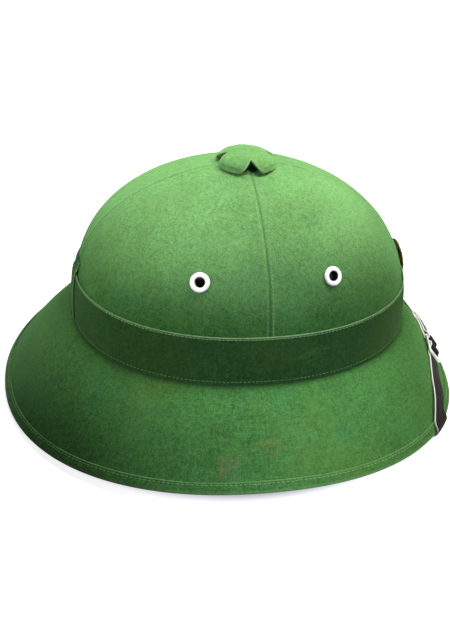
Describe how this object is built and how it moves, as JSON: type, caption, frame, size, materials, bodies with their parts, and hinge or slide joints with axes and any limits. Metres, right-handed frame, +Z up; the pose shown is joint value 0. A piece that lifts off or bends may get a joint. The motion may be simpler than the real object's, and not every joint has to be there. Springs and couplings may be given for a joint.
{
  "type": "pith helmet",
  "caption": "Green cloth-covered pith helmet with domed crown, sloping brim, dark band, vent cap, eyelets and a chin strap laid over the front of the brim.",
  "frame": {"origin": "on the resting surface, under the middle of the helmet's footprint", "axes": "+X towards the wearer's front, +Y towards the wearer's left, +Z up"},
  "size_m": [0.3194, 0.2772, 0.1709],
  "materials": {
    "cover_cloth": "matt woven cotton",
    "band_cloth": "matt woven cotton, darker",
    "shell_board": null,
    "white_enamel": "white enamelled metal",
    "strap_leather": "black leather with pale cut edges",
    "nickel": "bright nickel",
    "brass": "satin brass"
  },
  "bodies": {
    "root": {"crown_gore_left_front": "cover_cloth", "crown_gore_left_rear": "cover_cloth", "crown_gore_right_rear": "cover_cloth", "crown_gore_right_front": "cover_cloth", "brim_cover": "cover_cloth", "edge_binding": "cover_cloth", "vent_cap": "cover_cloth", "hat_band": "band_cloth", "band_tab": "band_cloth", "body_shell": "shell_board", "eyelet_right_rear": "white_enamel", "eyelet_right_front": "white_enamel", "eyelet_left_rear": "white_enamel", "eyelet_left_front": "white_enamel", "chin_strap_short": "strap_leather", "chin_strap_long": "strap_leather", "strap_slide": "nickel", "strap_rivet_right": "nickel", "strap_rivet_left": "nickel", "badge_disc": "brass"}
  },
  "joints": []
}
